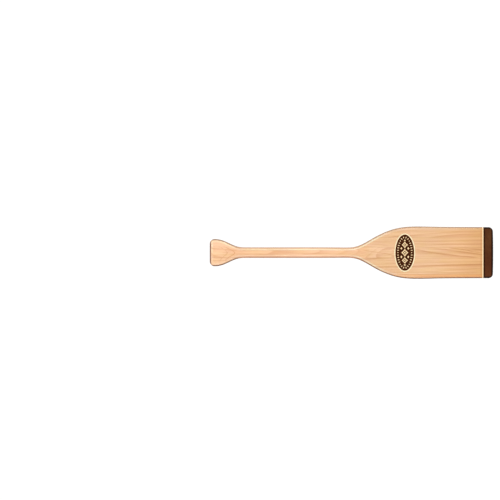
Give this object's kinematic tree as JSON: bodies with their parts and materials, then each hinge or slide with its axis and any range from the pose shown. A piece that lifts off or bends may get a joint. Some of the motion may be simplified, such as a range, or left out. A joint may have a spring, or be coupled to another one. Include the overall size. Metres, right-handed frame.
{
  "type": "canoe paddle",
  "caption": "Laminated wooden single-blade paddle: flared palm grip, squarish-round shaft, flat blade with a resin tip guard and an oval badge.",
  "frame": {"origin": "lowest point of the blade's tip, on the paddle's long axis (bottom centre of the bounding box); the paddle stands on its tip", "axes": "+Z along the shaft from the tip to the grip, X across the width of the blade, +Y out of the back face; the face with the badge looks towards -Y"},
  "size_m": [0.1406, 0.0284, 0.762],
  "materials": {
    "shaft_core_wood": "clear satin varnish",
    "shaft_outer_wood": "clear satin varnish",
    "blade_inner_wood": "clear satin varnish",
    "blade_middle_wood": "clear satin varnish",
    "blade_edge_wood": "clear satin varnish",
    "grip_wood": "clear satin varnish",
    "guard_resin": "semi-gloss dark brown cast resin",
    "badge_film": "printed film under the varnish"
  },
  "bodies": {
    "root": {"shaft_core_ply": "shaft_core_wood", "shaft_front_ply": "shaft_outer_wood", "shaft_back_ply": "shaft_outer_wood", "blade_inner_strip_left": "blade_inner_wood", "blade_inner_strip_right": "blade_inner_wood", "blade_middle_strip_left": "blade_middle_wood", "blade_middle_strip_right": "blade_middle_wood", "blade_edge_strip_left": "blade_edge_wood", "blade_edge_strip_right": "blade_edge_wood", "grip_cheek_left": "grip_wood", "grip_cheek_right": "grip_wood", "tip_guard": "guard_resin", "blade_badge": "badge_film"}
  },
  "joints": []
}
